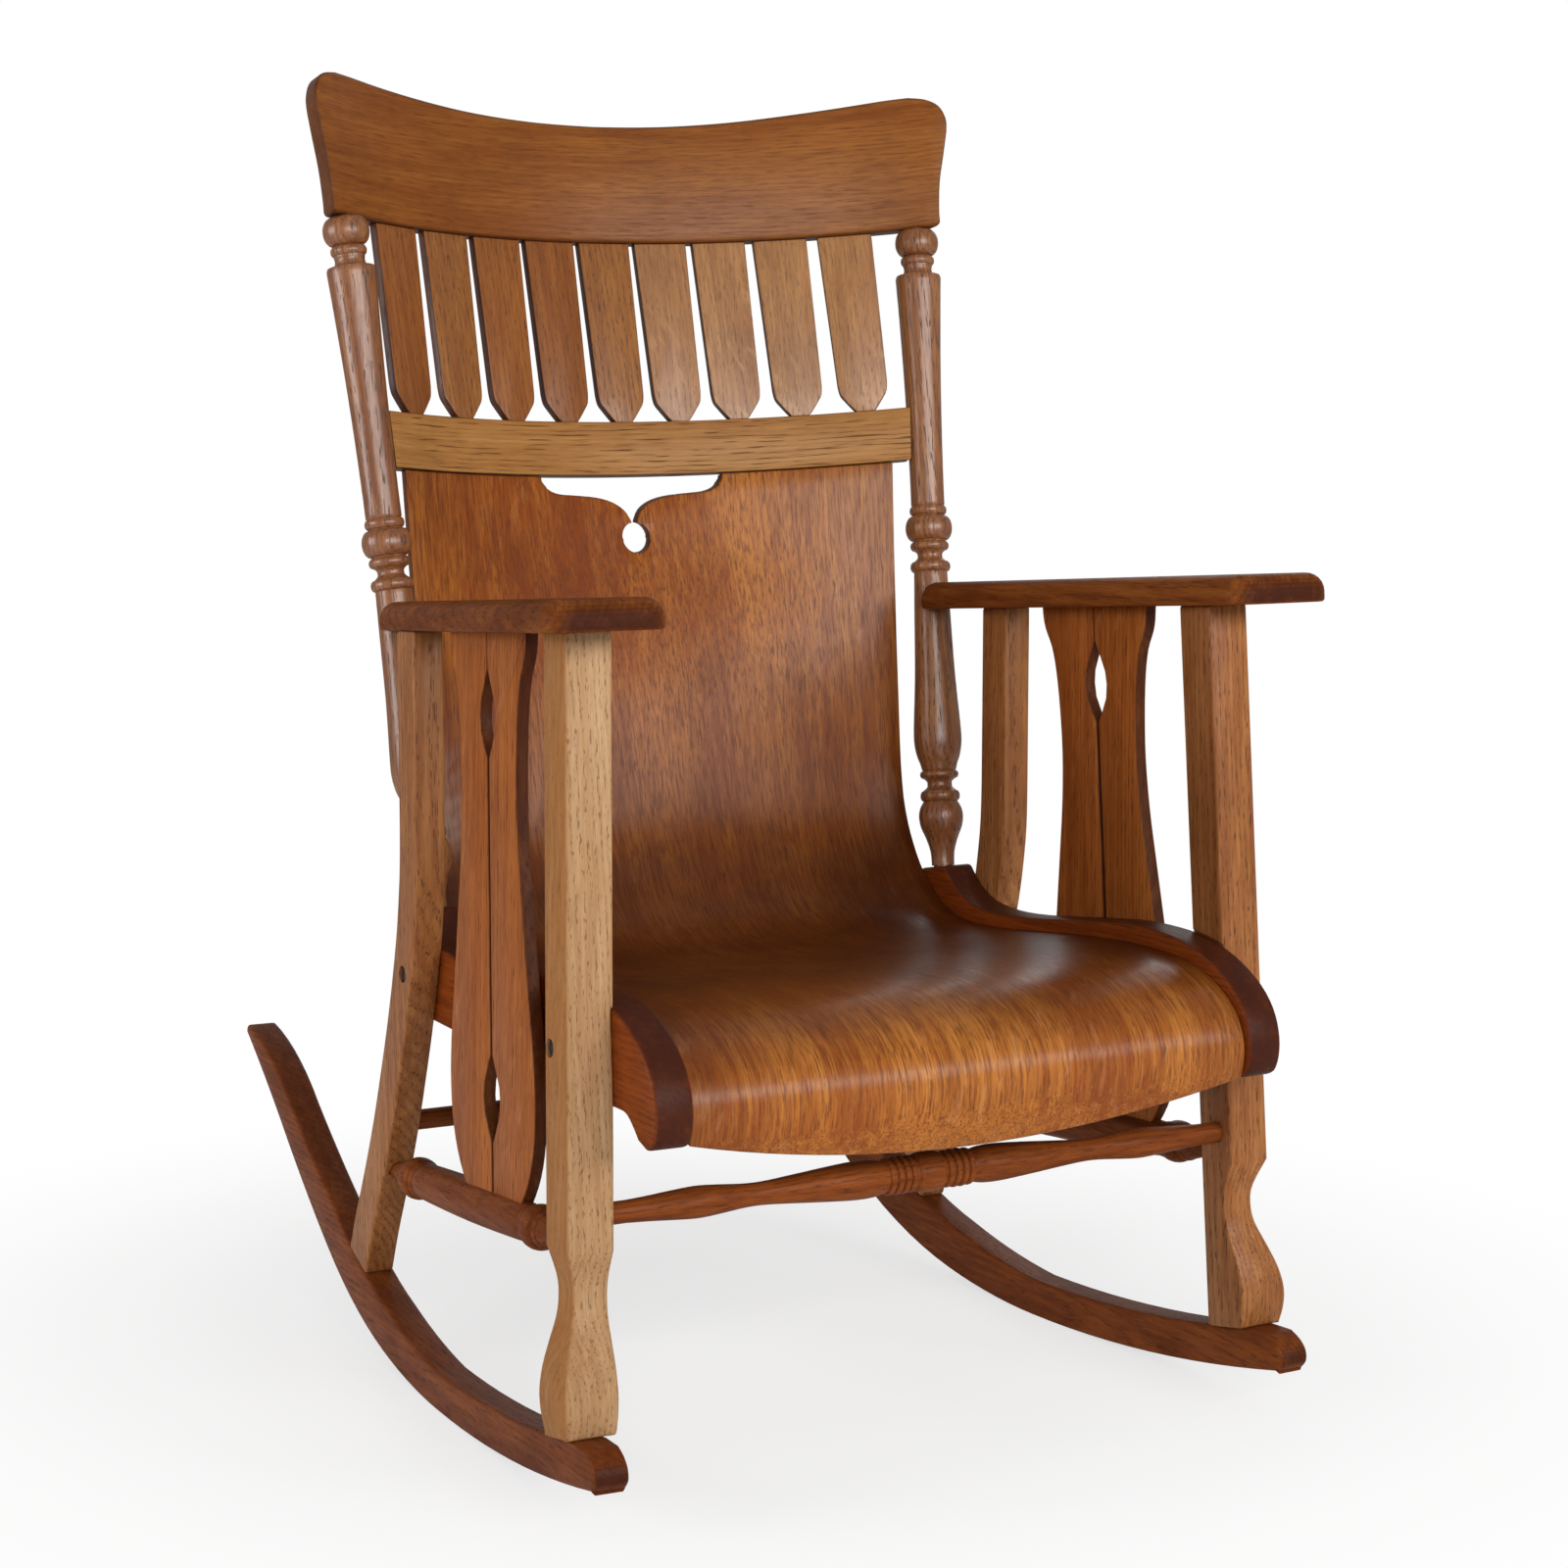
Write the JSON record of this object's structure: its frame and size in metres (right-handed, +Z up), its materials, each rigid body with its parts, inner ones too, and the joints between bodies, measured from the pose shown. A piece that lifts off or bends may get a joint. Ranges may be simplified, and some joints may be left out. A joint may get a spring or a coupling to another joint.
{
  "type": "rocking chair",
  "caption": "Wooden rocking chair with a bent panel seat and back, slatted crest, turned posts, lyre slats below flat arms and curved rockers.",
  "frame": {"origin": "middle of the bounding box on the floor, below the seat", "axes": "+Z up, -Y towards the front of the chair where the sitter's feet are, +X to the right of a viewer in front"},
  "size_m": [0.6398, 0.821, 1.0186],
  "materials": {
    "oak_frame": "satin",
    "oak_pale": "satin",
    "oak_panel": "gloss",
    "oak_dark": "satin",
    "screw_steel": "matte"
  },
  "bodies": {
    "root": {"rocker_l": "oak_dark", "rocker_r": "oak_dark", "front_leg_l": "oak_pale", "front_leg_r": "oak_pale", "rear_leg_l": "oak_frame", "rear_leg_r": "oak_frame", "arm_l": "oak_frame", "arm_r": "oak_frame", "arm_slat_front_l": "oak_frame", "arm_slat_rear_l": "oak_frame", "arm_slat_front_r": "oak_frame", "arm_slat_rear_r": "oak_frame", "side_stretcher_l": "oak_dark", "side_stretcher_r": "oak_dark", "front_stretcher": "oak_dark", "rear_stretcher": "oak_dark", "seat_rail_l": "oak_frame", "seat_rail_r": "oak_frame", "seat_panel": "oak_panel", "cross_bar_front": "oak_dark", "cross_bar_rear": "oak_dark", "post_l": "oak_frame", "post_r": "oak_frame", "crest_rail": "oak_frame", "mid_rail": "oak_pale", "back_slat_1": "oak_frame", "back_slat_2": "oak_frame", "back_slat_3": "oak_frame", "back_slat_4": "oak_frame", "back_slat_5": "oak_frame", "back_slat_6": "oak_frame", "back_slat_7": "oak_frame", "back_slat_8": "oak_frame", "back_slat_9": "oak_frame", "screw_front_l": "screw_steel", "screw_front_r": "screw_steel", "screw_rear_l": "screw_steel", "screw_rear_r": "screw_steel"}
  },
  "joints": []
}
